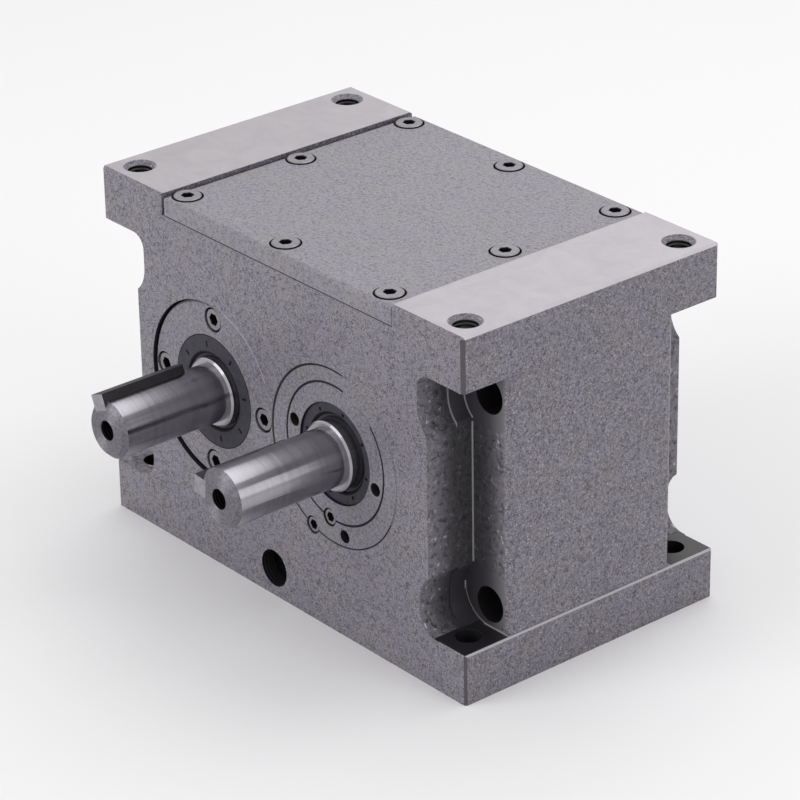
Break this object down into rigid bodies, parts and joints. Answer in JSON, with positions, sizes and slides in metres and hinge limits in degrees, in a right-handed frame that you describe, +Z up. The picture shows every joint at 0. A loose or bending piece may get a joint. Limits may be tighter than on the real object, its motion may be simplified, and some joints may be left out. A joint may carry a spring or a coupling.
{
  "type": "cam indexer",
  "caption": "Parallel-shaft cam indexer: cast housing with bolting ears, keyed input and output shafts, inner conjugate cams and follower turret.",
  "frame": {"origin": "centre of the foot bolt pattern on the base face", "axes": "+X along the long side from output to input shaft, -Y out of the shafts' side, +Z up"},
  "size_m": [0.23, 0.1934, 0.16],
  "materials": {
    "cast_housing": "speckled hammer paint on cast iron, machined pads",
    "cover_paint": "fine speckled hammer paint",
    "painted_steel": "speckled hammer paint on turned steel",
    "ground_steel": "cylindrically ground",
    "key_steel": "bright drawn",
    "screw_steel": "zinc plated",
    "seal_rubber": "moulded nitrile rubber",
    "gasket_sheet": "pressed gasket sheet",
    "bearing_steel": "ground and polished",
    "hardened_steel": "ground, hardened",
    "spring_steel": "phosphated spring steel"
  },
  "bodies": {
    "case": {"housing": "cast_housing", "top_cover": "cover_paint", "cover_gasket": "gasket_sheet", "cover_screws": "screw_steel", "output_front_flange": "painted_steel", "output_front_screws": "screw_steel", "output_front_seal": "seal_rubber", "output_front_bearing_outer_ring": "bearing_steel", "output_front_bearing_rollers": "bearing_steel", "output_rear_cap": "painted_steel", "output_rear_screws": "screw_steel", "output_rear_bearing_outer_ring": "bearing_steel", "output_rear_bearing_rollers": "bearing_steel", "input_front_sleeve": "painted_steel", "input_front_nut": "painted_steel", "input_front_seal": "seal_rubber", "input_front_bearing_outer_ring": "bearing_steel", "input_front_bearing_rollers": "bearing_steel", "input_rear_sleeve": "painted_steel", "input_rear_nut": "painted_steel", "input_rear_bearing_outer_ring": "bearing_steel", "input_rear_bearing_rollers": "bearing_steel", "lock_screws": "screw_steel", "drain_plug": "screw_steel"},
    "input_line": {"input_shaft": "ground_steel", "input_shaft_key": "key_steel", "front_cam": "hardened_steel", "rear_cam": "hardened_steel", "cam_keys": "key_steel", "cam_rings": "spring_steel", "input_front_bearing_inner_ring": "bearing_steel", "input_rear_bearing_inner_ring": "bearing_steel"},
    "output_line": {"output_shaft": "ground_steel", "output_shaft_key": "key_steel", "turret": "hardened_steel", "turret_key": "key_steel", "turret_rings": "spring_steel", "follower_studs": "hardened_steel", "output_front_bearing_inner_ring": "bearing_steel", "output_rear_bearing_inner_ring": "bearing_steel"},
    "follower_1": {"roller_1": "bearing_steel"},
    "follower_2": {"roller_2": "bearing_steel"},
    "follower_3": {"roller_3": "bearing_steel"},
    "follower_4": {"roller_4": "bearing_steel"},
    "follower_5": {"roller_5": "bearing_steel"},
    "follower_6": {"roller_6": "bearing_steel"},
    "follower_7": {"roller_7": "bearing_steel"},
    "follower_8": {"roller_8": "bearing_steel"}
  },
  "joints": [
    {"name": "input_spin", "type": "hinge", "parent": "case", "child": "input_line", "pos_m": [0.03625, 0, 0.08179], "axis": [0, -1, 0], "continuous": true},
    {"name": "output_index", "type": "hinge", "parent": "case", "child": "output_line", "pos_m": [-0.0444, 0, 0.08], "axis": [0, -1, 0], "continuous": true},
    {"name": "follower_1_spin", "type": "hinge", "parent": "output_line", "child": "follower_1", "pos_m": [-0.00241, 0, 0.08093], "axis": [0, -1, 0], "continuous": true},
    {"name": "follower_2_spin", "type": "hinge", "parent": "output_line", "child": "follower_2", "pos_m": [-0.01537, 0, 0.11035], "axis": [0, -1, 0], "continuous": true},
    {"name": "follower_3_spin", "type": "hinge", "parent": "output_line", "child": "follower_3", "pos_m": [-0.04533, 0, 0.12199], "axis": [0, -1, 0], "continuous": true},
    {"name": "follower_4_spin", "type": "hinge", "parent": "output_line", "child": "follower_4", "pos_m": [-0.07475, 0, 0.10903], "axis": [0, -1, 0], "continuous": true},
    {"name": "follower_5_spin", "type": "hinge", "parent": "output_line", "child": "follower_5", "pos_m": [-0.08639, 0, 0.07907], "axis": [0, -1, 0], "continuous": true},
    {"name": "follower_6_spin", "type": "hinge", "parent": "output_line", "child": "follower_6", "pos_m": [-0.07343, 0, 0.04965], "axis": [0, -1, 0], "continuous": true},
    {"name": "follower_7_spin", "type": "hinge", "parent": "output_line", "child": "follower_7", "pos_m": [-0.04347, 0, 0.03801], "axis": [0, -1, 0], "continuous": true},
    {"name": "follower_8_spin", "type": "hinge", "parent": "output_line", "child": "follower_8", "pos_m": [-0.01405, 0, 0.05097], "axis": [0, -1, 0], "continuous": true}
  ],
  "couplings": [
    {"joint": "output_index", "follows": "input_spin", "ratio": -0.25}
  ]
}
